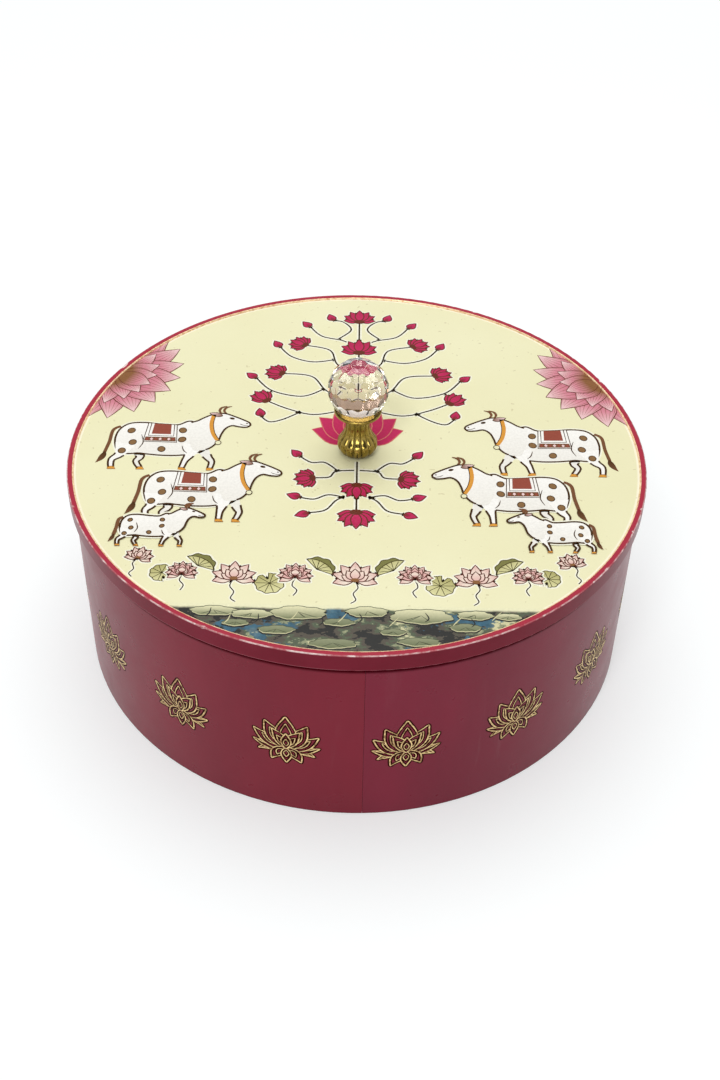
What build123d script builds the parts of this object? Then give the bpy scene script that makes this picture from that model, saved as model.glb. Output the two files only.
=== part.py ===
from build123d import *
from math import atan2, cos, degrees, radians, sin, sqrt
import os

# Round wooden box with a lift-off lid and a crystal knob, in millimetres.
# The origin is at the middle of the underside, +Z is up and the front is towards -Y.

# Box sizes
body_radius = 125.1            # outside of the crimson wrap
body_height = 89.4             # from what the box stands on to the top of its wall
wall_thickness = 4.0
wrap_thickness = 0.6
wrap_seam_width = 0.12         # where the two ends of the wrap meet
wrap_seam_angle = 2.1          # degrees to the right of the front
wrap_top_margin = 1.2          # how far the wrap stops below the wall's top, as a shadow line under the lid
base_thickness = 5.0
cover_thickness = 0.5          # sheet under the box
cover_margin = 1.6             # how far that sheet stays inside the wall's outer face
lining_thickness = 0.8
lining_top_margin = 0.6        # how far the lining stops below the wall's top
glue_gap = 0.1                 # round pieces that are glued into each other

# Lid sizes
lid_overhang = 1.9             # how far the lid stands out past the box
hoop_thickness = 2.4
hoop_top_round = 0.6
hoop_edge_round = 0.3
panel_thickness = 6.0
print_thickness = 1.15         # printed sheet with its clear coat
rim_lip = 0.95                 # how far the hoop stands above the print
ring_width = 6.0
ring_depth = 7.0
ring_clearance = 0.8           # locating ring to the lining inside the wall
lid_lining_clearance = 0.4

# Knob sizes
foot_radius = 5.7
bulb_radius = 8.9
bulb_height = 4.8              # widest level of the bulb above the print
neck_radius = 5.4
neck_height = 15.0             # narrowest level of the neck above the print
flare_height = 19.0            # where the neck turns out into the cup
cup_radius = 10.3
cup_height = 22.8              # top of the cup above the print
cup_rim_height = 1.3
cup_rim_width = 0.95
cup_rim_round = 0.4
dish_depth = 1.7
dish_slope = 1.1
flute_count = 14
flute_radius = 0.7
flute_depth = 0.45
ball_radius = 12.85            # to the middle of a facet
ball_flat = 0.4                # how much more is cut off at the top and bottom
facets_round = 16              # facets in each of the middle rows
facet_rows = 3                 # rows above the middle row, and below it

# Screw sizes, M4 with a pan head
screw_radius = 2.0
screw_length = 20.0
screw_head_radius = 4.0
screw_head_height = 2.6
screw_head_round = 0.9
screw_recess_radius = 1.3
screw_recess_depth = 1.4
screw_hole_clearance = 0.3     # through the lid
thread_clearance = 0.05        # in the knob's base
bore_end_gap = 1.0             # bore beyond the end of the screw
washer_radius = 5.5
washer_thickness = 0.8
washer_hole_clearance = 0.15

# Radii that follow from these
wall_outer = body_radius - wrap_thickness - glue_gap / 2
wall_inner = wall_outer - wall_thickness
lining_outer = wall_inner - glue_gap / 2
lining_inner = lining_outer - lining_thickness
lid_radius = body_radius + lid_overhang
hoop_inner = lid_radius - hoop_thickness
panel_radius = hoop_inner - glue_gap
ring_outer = lining_inner - ring_clearance
ring_inner = ring_outer - ring_width

# Levels that follow from these
base_top = cover_thickness + base_thickness
panel_bottom = body_height
panel_top = panel_bottom + panel_thickness
print_top = panel_top + print_thickness
rim_top = print_top + rim_lip
ring_bottom = panel_bottom - ring_depth


def disc(radius, bottom, thickness):
    """Flat round disc between two levels."""
    return Pos(0, 0, bottom) * Cylinder(radius, thickness, align=(Align.CENTER, Align.CENTER, Align.MIN))


def hoop(outer, inner, bottom, height):
    """Upright ring between two radii."""
    return disc(outer, bottom, height) - disc(inner, bottom, height)


def around_front(angle, radius):
    """Place on the upright wall, at an angle in degrees to the right of the front."""
    return Rot(0, 0, angle) * Pos(0, -radius, 0)


# Box

def make_body_wall():
    return hoop(wall_outer, wall_inner, cover_thickness, body_height - cover_thickness)


def make_body_wrap():
    wrap_height = body_height - wrap_top_margin - cover_thickness
    wrap = hoop(body_radius, body_radius - wrap_thickness, cover_thickness, wrap_height)
    slot = Box(wrap_seam_width, 4 * wrap_thickness, 2 * body_height)
    return wrap - around_front(wrap_seam_angle, body_radius) * slot


def make_base_disc():
    return disc(wall_inner - glue_gap, cover_thickness, base_thickness)


def make_base_cover():
    return disc(wall_outer - cover_margin, 0, cover_thickness)


def make_wall_lining():
    return hoop(lining_outer, lining_inner, base_top, body_height - lining_top_margin - base_top)


def make_floor_lining():
    return disc(lining_inner - glue_gap, base_top, lining_thickness)


# Lid

def make_lid_panel():
    return disc(panel_radius, panel_bottom, panel_thickness) - screw_hole()


def make_lid_hoop():
    band = hoop(lid_radius, hoop_inner, panel_bottom, rim_top - panel_bottom)
    band = fillet(hoop_edges(band, lid_radius, rim_top), min(hoop_top_round, hoop_thickness / 3))
    band = fillet(hoop_edges(band, lid_radius, panel_bottom), min(hoop_edge_round, hoop_thickness / 6))
    return fillet(hoop_edges(band, hoop_inner, rim_top), min(hoop_edge_round, hoop_thickness / 6))


def hoop_edges(band, radius, level):
    """The round edge of the hoop with that radius at that level."""
    circles = band.edges().filter_by(GeomType.CIRCLE)
    return circles.filter_by(lambda edge: abs(edge.radius - radius) < 0.01 and abs(edge.center().Z - level) < 0.01)


def make_lid_print():
    return disc(panel_radius, panel_top, print_thickness) - screw_hole()


def make_locating_ring():
    return hoop(ring_outer, ring_inner, ring_bottom, ring_depth)


def make_lid_lining():
    lining = disc(ring_inner - lid_lining_clearance, panel_bottom - lining_thickness, lining_thickness)
    return lining - disc(washer_radius + lid_lining_clearance, panel_bottom - lining_thickness, lining_thickness)


# Knob

def screw_hole():
    return disc(screw_radius + screw_hole_clearance, panel_bottom - 1, print_top - panel_bottom + 2)


def knob_curves():
    """Centres and radii of the bulb's arc and of the hollow neck's arc, which touch, as (radius, height)."""
    bulb_inset = bulb_radius - foot_radius
    bulb_arc = (bulb_height ** 2 + bulb_inset ** 2) / (2 * bulb_inset)
    bulb_centre = (bulb_radius - bulb_arc, bulb_height)
    across = neck_radius - bulb_centre[0]
    up = neck_height - bulb_height
    neck_arc = (across ** 2 + up ** 2 - bulb_arc ** 2) / (2 * (bulb_arc - across))
    neck_centre = (neck_radius + neck_arc, neck_height)
    return bulb_centre, bulb_arc, neck_centre, neck_arc


def on_circle(centre, radius, angle):
    return (centre[0] + radius * cos(radians(angle)), centre[1] + radius * sin(radians(angle)))


def knob_arc_angles():
    """Angles in degrees where the two arcs start, touch and end."""
    bulb_centre, bulb_arc, neck_centre, neck_arc = knob_curves()
    start = degrees(atan2(-bulb_centre[1], foot_radius - bulb_centre[0]))
    touch = degrees(atan2(neck_centre[1] - bulb_centre[1], neck_centre[0] - bulb_centre[0]))
    end = 180 - degrees(atan2(flare_height - neck_height, sqrt(neck_arc ** 2 - (flare_height - neck_height) ** 2)))
    return start, touch, end


def make_knob_base():
    bulb_centre, bulb_arc, neck_centre, neck_arc = knob_curves()
    start, touch, end = knob_arc_angles()
    flare_point = on_circle(neck_centre, neck_arc, end)
    cup_bottom = cup_height - cup_rim_height
    dish_floor = cup_height - dish_depth
    outline = [
        Line((0, 0), (foot_radius, 0)),
        ThreePointArc(
            (foot_radius, 0),
            on_circle(bulb_centre, bulb_arc, (start + touch) / 2),
            on_circle(bulb_centre, bulb_arc, touch),
        ),
        ThreePointArc(
            on_circle(bulb_centre, bulb_arc, touch),
            on_circle(neck_centre, neck_arc, (180 + touch + end) / 2),
            flare_point,
        ),
        Line(flare_point, (cup_radius, cup_bottom)),
        Line((cup_radius, cup_bottom), (cup_radius, cup_height)),
        Line((cup_radius, cup_height), (cup_radius - cup_rim_width, cup_height)),
        Line((cup_radius - cup_rim_width, cup_height), (cup_radius - cup_rim_width - dish_slope, dish_floor)),
        Line((cup_radius - cup_rim_width - dish_slope, dish_floor), (0, dish_floor)),
        Line((0, dish_floor), (0, 0)),
    ]
    profile = Plane.XZ * make_face(Curve() + outline)
    casting = revolve(profile, Axis.Z)
    rim_edges = casting.edges().filter_by(GeomType.CIRCLE).filter_by(is_cup_edge)
    casting = fillet(rim_edges, min(cup_rim_round, cup_rim_height / 3, cup_rim_width / 3))
    for index in range(flute_count):
        casting -= Rot(0, 0, index * 360 / flute_count) * flute_cutter()
    bore_depth = screw_reach() + bore_end_gap
    casting -= disc(screw_radius + thread_clearance, 0, bore_depth)
    return Pos(0, 0, print_top) * casting


def is_cup_edge(edge):
    """The two outer edges of the cup's rim."""
    level = edge.center().Z
    return abs(edge.radius - cup_radius) < 0.01 and level > cup_height - cup_rim_height - 0.01


def flute_cutter():
    """Round groove that runs up the bulb and the neck."""
    bulb_centre, bulb_arc, neck_centre, neck_arc = knob_curves()
    start, touch, end = knob_arc_angles()
    lift = flute_radius - flute_depth
    outer_arc = bulb_arc + lift
    inner_arc = neck_arc - lift
    lower_run = ThreePointArc(
        on_circle(bulb_centre, outer_arc, start),
        on_circle(bulb_centre, outer_arc, (start + touch) / 2),
        on_circle(bulb_centre, outer_arc, touch),
    )
    upper_end = (180 + end) / 2
    upper_run = ThreePointArc(
        on_circle(neck_centre, inner_arc, 180 + touch),
        on_circle(neck_centre, inner_arc, (180 + touch + upper_end) / 2),
        on_circle(neck_centre, inner_arc, upper_end),
    )
    path = Plane.XZ * (Curve() + [lower_run, upper_run])
    section = Plane(origin=path @ 0, z_dir=path % 0) * Circle(flute_radius)
    return sweep(section, path=path)


def make_knob_ball():
    """Ball cut with rows of flat facets, each row turned by half a facet against the next."""
    table = ball_radius - ball_flat
    ball = Cylinder(2 * ball_radius, 2 * table)
    row_step = 90 / (facet_rows + 1)
    for row in range(-facet_rows, facet_rows + 1):
        count = facets_round // 2 if abs(row) == facet_rows else facets_round
        turn = 180 / count if row % 2 else 0
        for index in range(count):
            around = radians(index * 360 / count + turn)
            above = radians(row * row_step)
            normal = Vector(cos(above) * cos(around), cos(above) * sin(around), sin(above))
            facet = Plane(origin=normal * ball_radius, z_dir=normal)
            ball = split(ball, bisect_by=facet, keep=Keep.BOTTOM)
    return Pos(0, 0, print_top + cup_height - dish_depth + table) * ball


def screw_reach():
    """How far the screw goes into the knob's base."""
    return screw_length - washer_thickness - panel_thickness - print_thickness


def make_knob_screw():
    head_top = panel_bottom - washer_thickness
    head = disc(screw_head_radius, head_top - screw_head_height, screw_head_height)
    head_edge = head.edges().filter_by(GeomType.CIRCLE).sort_by(Axis.Z)[0]
    head = fillet(head_edge, min(screw_head_round, screw_head_height / 2))
    recess = Box(2 * screw_recess_radius, screw_recess_radius / 2, 2 * screw_recess_depth)
    recess += Rot(0, 0, 90) * recess
    screw = head + disc(screw_radius, head_top, screw_length)
    return screw - Pos(0, 0, head_top - screw_head_height) * recess


def make_knob_washer():
    bottom = panel_bottom - washer_thickness
    return hoop(washer_radius, screw_radius + washer_hole_clearance, bottom, washer_thickness)


def export_nodes():
    nodes = {
        "body_wall": make_body_wall(),
        "body_wrap": make_body_wrap(),
        "base_disc": make_base_disc(),
        "base_cover": make_base_cover(),
        "wall_lining": make_wall_lining(),
        "floor_lining": make_floor_lining(),
        "lid_panel": make_lid_panel(),
        "lid_hoop": make_lid_hoop(),
        "lid_print": make_lid_print(),
        "locating_ring": make_locating_ring(),
        "lid_lining": make_lid_lining(),
        "knob_base": make_knob_base(),
        "knob_ball": make_knob_ball(),
        "knob_screw": make_knob_screw(),
        "knob_washer": make_knob_washer(),
    }
    os.makedirs("parts", exist_ok=True)
    for name, shape in nodes.items():
        shape.label = name
        export_step(shape, f"parts/{name}.step")


export_nodes()
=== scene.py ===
import bmesh
import bpy
import cmath
from math import atan2, cos, log, pi, radians, sin, sqrt
from mathutils import Matrix, Vector


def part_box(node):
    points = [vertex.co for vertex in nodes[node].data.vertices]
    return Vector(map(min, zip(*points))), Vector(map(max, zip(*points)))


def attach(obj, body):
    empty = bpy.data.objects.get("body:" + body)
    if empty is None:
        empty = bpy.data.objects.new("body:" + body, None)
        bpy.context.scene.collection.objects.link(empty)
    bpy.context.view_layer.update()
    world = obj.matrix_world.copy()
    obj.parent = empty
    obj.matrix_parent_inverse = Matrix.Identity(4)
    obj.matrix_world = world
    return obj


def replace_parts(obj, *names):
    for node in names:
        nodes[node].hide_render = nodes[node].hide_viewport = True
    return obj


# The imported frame, and the sizes that the pieces take from it, in metres.
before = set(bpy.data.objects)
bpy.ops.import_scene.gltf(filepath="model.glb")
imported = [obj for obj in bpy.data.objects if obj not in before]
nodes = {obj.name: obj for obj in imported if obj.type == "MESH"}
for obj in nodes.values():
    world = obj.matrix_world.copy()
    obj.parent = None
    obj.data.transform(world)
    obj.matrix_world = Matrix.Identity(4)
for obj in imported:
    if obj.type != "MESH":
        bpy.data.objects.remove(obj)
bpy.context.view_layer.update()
MM = 0.001
print_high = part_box("lid_print")[1]
print_top = print_high.z
print_radius = print_high.x
hoop_low, hoop_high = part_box("lid_hoop")
wall_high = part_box("body_wall")[1]
wrap_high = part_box("body_wrap")[1]
wrap_radius = wrap_high.x
ball_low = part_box("knob_ball")[0]


def srgb(red, green, blue):
    """Linear colour of an sRGB colour given as 0 to 255."""
    linear = []
    for value in (red, green, blue):
        share = value / 255
        linear.append(share / 12.92 if share <= 0.04045 else ((share + 0.055) / 1.055) ** 2.4)
    return tuple(linear)


# Print colours
CREAM = srgb(240, 237, 197)
CREAM_WARM = srgb(236, 232, 189)
HALO = srgb(251, 249, 228)
MAGENTA = srgb(202, 48, 98)
MAGENTA_DEEP = srgb(184, 36, 82)
EDGE_BROWN = srgb(108, 52, 36)
STEM = srgb(46, 32, 8)
COW_WHITE = srgb(254, 252, 246)
COW_SHADE = srgb(243, 240, 231)
COW_LINE = srgb(70, 44, 14)
SPOT = srgb(140, 106, 68)
SADDLE_RED = srgb(154, 78, 62)
SADDLE_BROWN = srgb(122, 80, 52)
ROPE = srgb(224, 156, 62)
PINK_DEEP = srgb(192, 96, 116)
PINK = srgb(220, 142, 156)
PINK_PALE = srgb(246, 214, 212)
CENTRE_GOLD = srgb(144, 98, 60)
LEAF = srgb(176, 170, 106)
LEAF_PALE = srgb(228, 224, 168)
LEAF_LINE = srgb(76, 68, 30)
LEAF_DARK = srgb(128, 126, 72)
ROSE_PALE = srgb(247, 229, 212)
ROSE = srgb(230, 182, 174)
ROSE_DEEP = srgb(192, 108, 116)
ROSE_LINE = srgb(96, 48, 36)
PAD_GREEN = srgb(112, 120, 86)
PAD_EDGE = srgb(212, 208, 164)
PAD_LINE = srgb(86, 92, 70)
POND_DARK = srgb(52, 52, 50)
POND_BROWN = srgb(92, 86, 76)
POND_GREEN = srgb(92, 102, 82)
POND_LIGHT = srgb(150, 154, 122)
POND_BLUE = srgb(66, 108, 130)
FOIL_EDGE = srgb(58, 14, 8)
COW_EDGE = 0.92
GLOW = 1.9

# Sheets of thin shapes. A point is a complex number in millimetres: x to the right, y away from the front.
LAYER = 0.01
PRINT_EDGE = print_radius / MM - 0.3


def on_lid(point, height):
    """Place on the print. What would run over its edge is drawn in to the edge."""
    point *= min(1, PRINT_EDGE / max(abs(point), PRINT_EDGE))
    return Vector((point.real * MM, point.imag * MM, print_top + height * MM))


def on_wall(middle):
    """Place on the upright wall round the box, x along the wall from an angle in degrees and y up."""
    def place(point, height):
        radius = wrap_radius + height * MM
        angle = radians(middle) + point.real * MM / wrap_radius
        return Vector((radius * sin(angle), -radius * cos(angle), point.imag * MM))
    return place


def sides(path, widths, closed=False):
    """Points half a width to the left of a path and to the right of it."""
    count = len(path)
    left, right = [], []
    for i, point in enumerate(path):
        before = path[i - 1] if closed or i else point
        after = path[(i + 1) % count] if closed or i < count - 1 else point
        along = after - before
        side = 1j * along / max(abs(along), 1e-9) * widths[i] / 2
        left.append(point + side)
        right.append(point - side)
    return left, right


class Sheet:
    """Thin flat shapes in stacked layers, which become one mesh with a colour at each vertex."""

    def __init__(self, place):
        self.place = place
        self.vertices = []
        self.faces = []
        self.colours = []

    def add_ring(self, points, colours, height):
        first = len(self.vertices)
        self.vertices.extend(self.place(point, height) for point in points)
        self.colours.extend(colours)
        return list(range(first, first + len(points)))

    def plate(self, outline, colours, layer):
        """Filled shape with a simple outline."""
        area = sum((a.conjugate() * b).imag for a, b in zip(outline, outline[1:] + outline[:1]))
        if area < 0:
            outline = outline[::-1]
            colours = colours[::-1]
        low = self.add_ring(outline, colours, (layer - 1) * LAYER)
        high = self.add_ring(outline, colours, layer * LAYER)
        self.faces.append(high)
        self.faces.append(low[::-1])
        for i in range(len(low)):
            j = (i + 1) % len(low)
            self.faces.append([low[i], low[j], high[j], high[i]])

    def ribbon(self, path, widths, colours, layer, closed=False):
        """Strip of changing width along a path, with a colour at each of its points."""
        left, right = sides(path, widths, closed)
        rows = []
        for points, height in ((left, 0), (right, 0), (right, 1), (left, 1)):
            rows.append(self.add_ring(points, colours, (layer - 1 + height) * LAYER))
        count = len(path)
        for i in range(count if closed else count - 1):
            j = (i + 1) % count
            for k in range(4):
                a, b = rows[k], rows[(k + 1) % 4]
                self.faces.append([a[i], a[j], b[j], b[i]])
        if not closed:
            self.faces.append([row[0] for row in rows])
            self.faces.append([row[-1] for row in rows[::-1]])

    def build(self, name, material, body="lid"):
        mesh = new_mesh(name, self.vertices, self.faces, material, "ink", self.colours)
        add_piece(name, mesh, body)


def new_mesh(name, vertices, faces, material, layer="", colours=()):
    """Mesh of one material with, if a layer is named, a colour at each vertex."""
    mesh = bpy.data.meshes.new(name)
    mesh.from_pydata(vertices, [], faces)
    mesh.materials.append(material)
    if layer:
        paint = mesh.color_attributes.new(layer, "FLOAT_COLOR", "POINT")
        for entry, colour in zip(paint.data, colours):
            entry.color = (*colour, 1)
    return mesh


def add_object(name, data):
    thing = bpy.data.objects.new(name, data)
    bpy.context.scene.collection.objects.link(thing)
    return thing


def add_piece(name, mesh, body):
    piece = add_object(name, mesh)
    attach(piece, body)
    return piece


def blend_colours(a, b, share):
    return tuple(x + (y - x) * share for x, y in zip(a, b))


def smooth(points, closed=False, steps=6):
    """Curve that runs evenly through its points."""
    count = len(points)
    curve = []
    for i in range(count if closed else count - 1):
        picks = [i - 1, i, i + 1, i + 2]
        if closed:
            a, b, c, d = [points[pick % count] for pick in picks]
        else:
            a, b, c, d = [points[min(max(pick, 0), count - 1)] for pick in picks]
        for step in range(steps):
            t = step / steps
            linear = (c - a) * t
            square = (2 * a - 5 * b + 4 * c - d) * t * t
            cube = (3 * b - a - 3 * c + d) * t ** 3
            curve.append(0.5 * (2 * b + linear + square + cube))
    if not closed:
        curve.append(points[-1])
    return curve


class Pen:
    """Draws on a sheet at its own place: scaled, turned by degrees and, with flip -1, mirrored."""

    def __init__(self, sheet, origin=0, size=1.0, turn=0.0, flip=1, layer=1):
        self.sheet = sheet
        self.origin = origin
        self.size = size
        self.turn = turn
        self.flip = flip
        self.layer = layer

    def at(self, point):
        placed = self.origin + point * cmath.rect(self.size, radians(self.turn))
        return complex(self.flip * placed.real, placed.imag)

    def inner(self, origin, size=1.0, turn=0.0, layer=0):
        """Pen for a smaller motif within this one."""
        pen = Pen(self.sheet, origin, size, turn, 1, self.layer + layer)
        within = pen.at
        pen.at = lambda point: self.at(within(point))
        pen.size = self.size * size
        return pen

    def plate(self, outline, colour, tip=None, axis=None, lift=0):
        """Filled shape. With tip and axis, its colour runs along the axis towards the tip colour."""
        colours = [colour] * len(outline)
        if tip:
            start, end = axis
            run = end - start
            shares = [((p - start) * run.conjugate()).real / abs(run) ** 2 for p in outline]
            colours = [blend_colours(colour, tip, min(max(share, 0), 1)) for share in shares]
        self.sheet.plate([self.at(p) for p in outline], colours, self.layer + lift)

    def line(self, path, width, colour, lift=0, closed=False, ends=1.0):
        """Line of an even width in millimetres, or thinned to a share of it at its ends."""
        count = len(path) - 1
        widths = [width * (ends + (1 - ends) * sin(pi * i / count)) for i in range(count + 1)]
        colours = [colour] * len(path)
        self.sheet.ribbon([self.at(p) for p in path], widths, colours, self.layer + lift, closed)

    def shape(self, outline, colour, width, edge, lift=0):
        """Filled shape with an edge line round it."""
        self.plate(outline, colour, lift=lift)
        self.line(outline, width, edge, lift + 1, closed=True)

    def leaf(self, path, widths, stops, lift=0):
        """Petal or leaf whose colour runs from base to tip through evenly spaced stops."""
        colours = []
        for i in range(len(path)):
            along = i / (len(path) - 1) * (len(stops) - 1)
            step = min(int(along), len(stops) - 2)
            colours.append(blend_colours(stops[step], stops[step + 1], along - step))
        widths = [max(width * self.size, 0.03) for width in widths]
        self.sheet.ribbon([self.at(p) for p in path], widths, colours, self.layer + lift)


def inside(point, outline):
    """Whether a closed outline goes round the point."""
    within = False
    for a, b in zip(outline, outline[1:] + outline[:1]):
        if (a.imag > point.imag) != (b.imag > point.imag):
            share = (point.imag - a.imag) / (b.imag - a.imag)
            if a.real + share * (b.real - a.real) > point.real:
                within = not within
    return within


def open_runs(path, covers):
    """Stretches of a path that no cover hides."""
    runs, run = [], []
    for point in path:
        if any(inside(point, cover) for cover in covers):
            if len(run) > 1:
                runs.append(run)
            run = []
        else:
            run.append(point)
    if len(run) > 1:
        runs.append(run)
    return runs


# Motifs
PETAL_STEPS = 9


def petal(base, tip, width, peak=0.42, bend=0.0):
    """Centre line and widths of a petal, widest at a share of its length and bowed sideways by bend."""
    axis = tip - base
    side = 1j * axis / abs(axis)
    power = log(0.5) / log(peak)
    shares = [step / PETAL_STEPS for step in range(PETAL_STEPS + 1)]
    path = [base + axis * t + side * bend * 4 * t * (1 - t) for t in shares]
    widths = [width * sin(pi * t ** power) for t in shares]
    return path, widths


def outline_of(path, widths):
    """Closed outline round a petal's centre line."""
    left, right = sides(path, widths)
    return [path[0]] + right[1:-1] + [path[-1]] + left[-2:0:-1]


def petal_outline(base, tip, width, peak=0.42, bend=0.0):
    return outline_of(*petal(base, tip, width, peak, bend))


def draw_petal(pen, base, tip, width, stops, edge, edge_width=0.35, lift=0, peak=0.42, veins=0, bend=0.0):
    """Petal with its edge line and, if asked, veins that fan out from its base."""
    path, widths = petal(base, tip, width, peak, bend)
    pen.leaf(path, widths, stops, lift)
    left, right = sides(path, widths)
    vein_colour = blend_colours(stops[0], edge, 0.35)
    for vein in range(veins):
        share = (vein + 0.5) / veins
        streak = [b + (a - b) * share for a, b in zip(left, right)]
        pen.line(streak[1:-1], edge_width * 0.5, vein_colour, lift + 1, ends=0.2)
    pen.line(outline_of(path, widths), edge_width, edge, lift + 1, closed=True)


def draw_lotus(pen, length, width, petals, spread, stops, edge, edge_width=0.35, veins=0, shrink=0.25,
               bend=0.0, glow=False):
    """Lotus from the side, its base at 0 and its middle petal upright. Outer petals lie behind inner ones."""
    half = petals // 2
    for rank in range(half, -1, -1):
        share = rank / half
        reach = length * (1 - shrink * share ** 2)
        for sign in ((-1, 1) if rank else (1,)):
            tip = cmath.rect(reach, pi / 2 + sign * radians(spread) * share)
            base = tip * 0.04
            bow = -sign * bend * share * width
            if glow:
                pen.line(petal_outline(base, tip, width, 0.46, bow), GLOW, HALO, -2, closed=True)
            draw_petal(pen, base, tip, width, stops, edge, edge_width, 2 * (half - rank), 0.46, veins, bow)


def draw_bud(pen):
    """Closed bud with its stem end at 0."""
    tip = 6.2j
    width = 4.4
    pen.line(petal_outline(0j, tip, width, 0.36), GLOW, HALO, -2, closed=True)
    draw_petal(pen, 0j, tip, width, (MAGENTA_DEEP, MAGENTA), EDGE_BROWN, 0.56, 0, 0.36)
    pen.leaf(*petal(0j, tip * 0.55, width * 0.42), (EDGE_BROWN, MAGENTA_DEEP), 2)


def draw_bloom(pen, length, petals=7, spread=78):
    """Open magenta lotus on the end of a stem."""
    stops = (MAGENTA, MAGENTA_DEEP)
    draw_lotus(pen, length, length * 0.42, petals, spread, stops, EDGE_BROWN, 0.56, bend=0.12, glow=True)
    cup = [-0.26+0.02j, -0.14-0.12j, 0.14-0.12j, 0.26+0.02j, 0.12+0.16j, -0.12+0.16j]
    pen.plate(smooth([p * length for p in cup], True, 3), EDGE_BROWN, lift=8)


def draw_stem(pen, points, width=0.8):
    path = smooth(points, steps=8)
    pen.line(path, width * 3, HALO)
    pen.line(path, width, STEM, lift=1)


def draw_limb(pen, path, widths, colour, lift, bare=4):
    """Leg drawn as a smooth limb with an edge line down both sides, except along its bare top."""
    path = smooth(path, steps=4)
    left, right = sides(path, smooth(widths, steps=4))
    pen.plate(left + right[::-1], colour, lift=lift)
    for side in (left, right):
        pen.line(side[bare:], COW_EDGE, COW_LINE, lift + 1)
    return path[-1]


def draw_hoof(pen, foot, lift):
    hoof = [foot + p for p in (-1.5+0.4j, 1.2+0.5j, 2.3-1.5j, -1.5-1.5j)]
    pen.shape(hoof, ROPE, 0.3, SADDLE_BROWN, lift)


def ellipse(centre, wide, high, turn=0.0):
    """Ellipse outline from its half widths."""
    count = 14
    turns = [2 * pi * i / count for i in range(count)]
    points = [complex(wide * cos(angle), high * sin(angle)) for angle in turns]
    return [centre + point * cmath.rect(1, radians(turn)) for point in points]


def draw_saddle(pen, lift):
    """Cloth over the back: a pale border, a red field and a chequered hem."""
    cloth = [14.4+34.9j, 27.8+33.8j, 28.8+20.4j, 13.2+20.8j]
    pen.plate(cloth, COW_WHITE, lift=lift)
    pen.plate([14+24.4j, 28+24.2j, 28.4+21j, 13.6+21.4j], SADDLE_BROWN, lift=lift + 1)
    pen.plate([17.2+34.5j, 25.2+34j, 25.6+26.4j, 16.6+26.6j], SADDLE_RED, lift=lift + 1)
    pen.line([15.8+34.6j, 15.2+25.3j, 27+25j, 26.6+33.8j], 0.45, COW_LINE, lift + 1)
    pen.line(cloth, 0.55, COW_LINE, lift + 2, closed=True)
    for step in range(7):
        middle = 15 + 2 * step + 22.7j
        diamond = [middle + p for p in (-0.8, 1.1j, 0.8, -1.1j)]
        pen.plate(diamond, PINK_PALE if step % 2 else SADDLE_RED, lift=lift + 2)


def draw_cow_head(pen, lift, rope=True):
    """Neck and head of a cow that looks ahead, over the shoulder of its body."""
    head = [
        33+33j, 37.5+37.4j, 41.5+40.8j, 45.5+43j, 49.5+43.2j, 53.5+41.4j, 58+38.8j,
        61.4+36.4j, 62+34.4j, 60.4+32.8j, 57+33j, 53.4+33.8j, 50.6+31.4j, 49+27j,
        47.8+21.5j, 44.5+16.5j, 40+14.6j, 36+17j,
    ]
    outline = smooth(head, True, 5)
    pen.plate(outline, COW_WHITE, COW_SHADE, (44+42j, 42+14j), lift)
    nape, shoulder = 2, 12
    pen.line(outline[nape:-shoulder], COW_EDGE, COW_LINE, lift + 1)
    pen.line(smooth([61.4+33.8j, 59+34.2j, 57.2+35.2j], steps=4), 0.35, COW_LINE, lift + 1)
    pen.plate(ellipse(53.2+39.4j, 1.3, 0.8, -20), COW_LINE, lift=lift + 1)
    pen.plate(ellipse(60.4+35.6j, 0.45, 0.4), COW_LINE, lift=lift + 1)
    draw_petal(pen, 48.6+41.2j, 42.2+43.4j, 3.2, (SADDLE_BROWN, PINK_PALE), COW_LINE, lift=lift + 2)
    for near, ahead in ((0, 0), (1, 2.2)):
        horn = smooth([48.4 + ahead + 42.8j, 46.8 + ahead + 45.2j, 47.6 + ahead + 47.8j, 50.2 + ahead + 49j])
        pen.line(horn, 1.2, SADDLE_BROWN, lift + 2 - near, ends=0.3)
    if rope:
        strap = smooth([44.4+42.2j, 43.8+35j, 45+28j, 47.6+22.4j])
        pen.line(strap, 1.9, ROPE, lift + 2)
        pen.line([p + 0.95 for p in strap], 0.35, COW_LINE, lift + 3)
        pen.shape(ellipse(48+20.6j, 1.4, 1.5), CREAM, 0.4, COW_LINE, lift + 3)


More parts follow.
